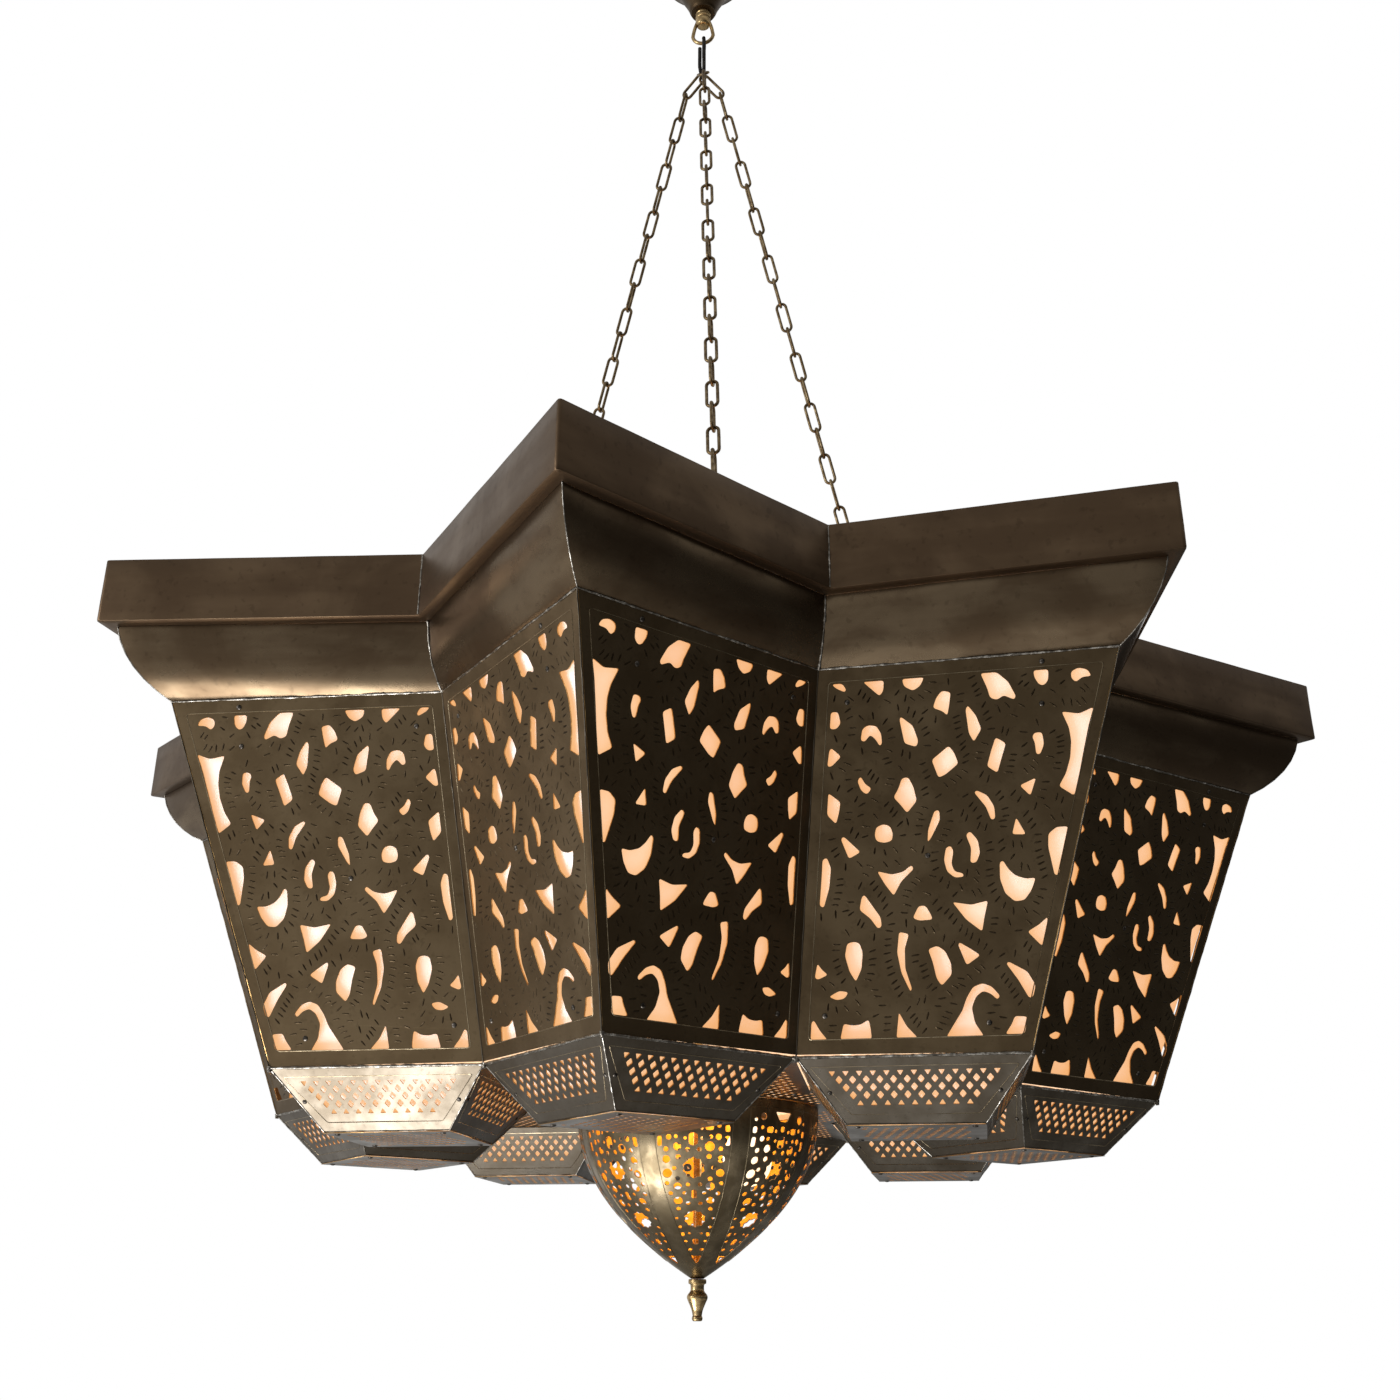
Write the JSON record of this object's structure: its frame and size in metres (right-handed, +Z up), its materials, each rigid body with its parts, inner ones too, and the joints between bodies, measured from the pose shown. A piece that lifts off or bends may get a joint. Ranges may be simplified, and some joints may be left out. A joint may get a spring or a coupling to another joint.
{
  "type": "hanging lantern",
  "caption": "Star-shaped pierced metal lantern with tapering arms and a pointed dome below, hung by chains from a hook on a ceiling canopy.",
  "frame": {"origin": "on the hanging axis, in the ceiling face, which is the top face of the ceiling bracket", "axes": "+Z up, out of the ceiling face; one tip of the star points along -Y"},
  "size_m": [1.2, 1.2, 1.6071],
  "materials": {
    "dark_brass": "aged dark brown patina, soft sheen",
    "panel_brass": "aged brown patina, chased and pierced",
    "dome_brass": "aged brass, worn brighter, pierced",
    "bright_brass": "turned brass, light wear",
    "chain_brass": "brown drawn wire, rubbed bright on the edges",
    "iron": "dull black oxide",
    "dark_iron": "blackened wire",
    "liner_sheet": "translucent sheet, lit from behind",
    "black_plastic": "moulded, matte",
    "frosted_glass": "frosted inside"
  },
  "bodies": {
    "ceiling_mount": {"ceiling_bracket": "iron", "canopy": "dark_brass", "canopy_stem": "iron"},
    "loop": {"loop": "bright_brass"},
    "hook": {"hook": "dark_iron"},
    "lantern": {"chain_1": "chain_brass", "chain_2": "chain_brass", "chain_3": "chain_brass", "top_frame": "iron", "fascia": "dark_brass", "cove": "dark_brass", "wall_panel_1a": "panel_brass", "wall_panel_1b": "panel_brass", "wall_panel_2a": "panel_brass", "wall_panel_2b": "panel_brass", "wall_panel_3a": "panel_brass", "wall_panel_3b": "panel_brass", "wall_panel_4a": "panel_brass", "wall_panel_4b": "panel_brass", "wall_panel_5a": "panel_brass", "wall_panel_5b": "panel_brass", "wall_panel_6a": "panel_brass", "wall_panel_6b": "panel_brass", "wall_panel_7a": "panel_brass", "wall_panel_7b": "panel_brass", "wall_panel_8a": "panel_brass", "wall_panel_8b": "panel_brass", "wall_liner": "liner_sheet", "hopper_1": "panel_brass", "hopper_2": "panel_brass", "hopper_3": "panel_brass", "hopper_4": "panel_brass", "hopper_5": "panel_brass", "hopper_6": "panel_brass", "hopper_7": "panel_brass", "hopper_8": "panel_brass", "bottom_plate_1": "panel_brass", "bottom_plate_2": "panel_brass", "bottom_plate_3": "panel_brass", "bottom_plate_4": "panel_brass", "bottom_plate_5": "panel_brass", "bottom_plate_6": "panel_brass", "bottom_plate_7": "panel_brass", "bottom_plate_8": "panel_brass", "base_plate": "panel_brass", "centre_rod": "iron", "lamp_carrier": "iron", "lampholder_1": "black_plastic", "lampholder_2": "black_plastic", "lampholder_3": "black_plastic", "lampholder_4": "black_plastic", "dome_lampholder": "black_plastic", "bulb_1": "frosted_glass", "bulb_2": "frosted_glass", "bulb_3": "frosted_glass", "bulb_4": "frosted_glass", "dome_bulb": "frosted_glass", "dome_lamp_arm": "iron"},
    "dome": {"dome": "dome_brass"},
    "finial": {"finial": "bright_brass"}
  },
  "joints": [
    {"name": "loop_swivel", "type": "hinge", "parent": "ceiling_mount", "child": "loop", "pos_m": [0, 0, -0.0915], "axis": [0, 0, 1], "continuous": true},
    {"name": "hook_swing", "type": "hinge", "parent": "loop", "child": "hook", "pos_m": [0, 0, -0.11875], "axis": [1, 0, 0], "range_deg": [-15, 15]},
    {"name": "lantern_swing", "type": "hinge", "parent": "hook", "child": "lantern", "pos_m": [0, 0, -0.1727], "axis": [0, 1, 0], "range_deg": [-12, 12]},
    {"name": "dome_drop", "type": "slide", "parent": "lantern", "child": "dome", "axis": [0, 0, -1], "range_m": [0, 0.12]},
    {"name": "finial_turn", "type": "hinge", "parent": "dome", "child": "finial", "pos_m": [0, 0, -1.57], "axis": [0, 0, 1], "continuous": true}
  ]
}
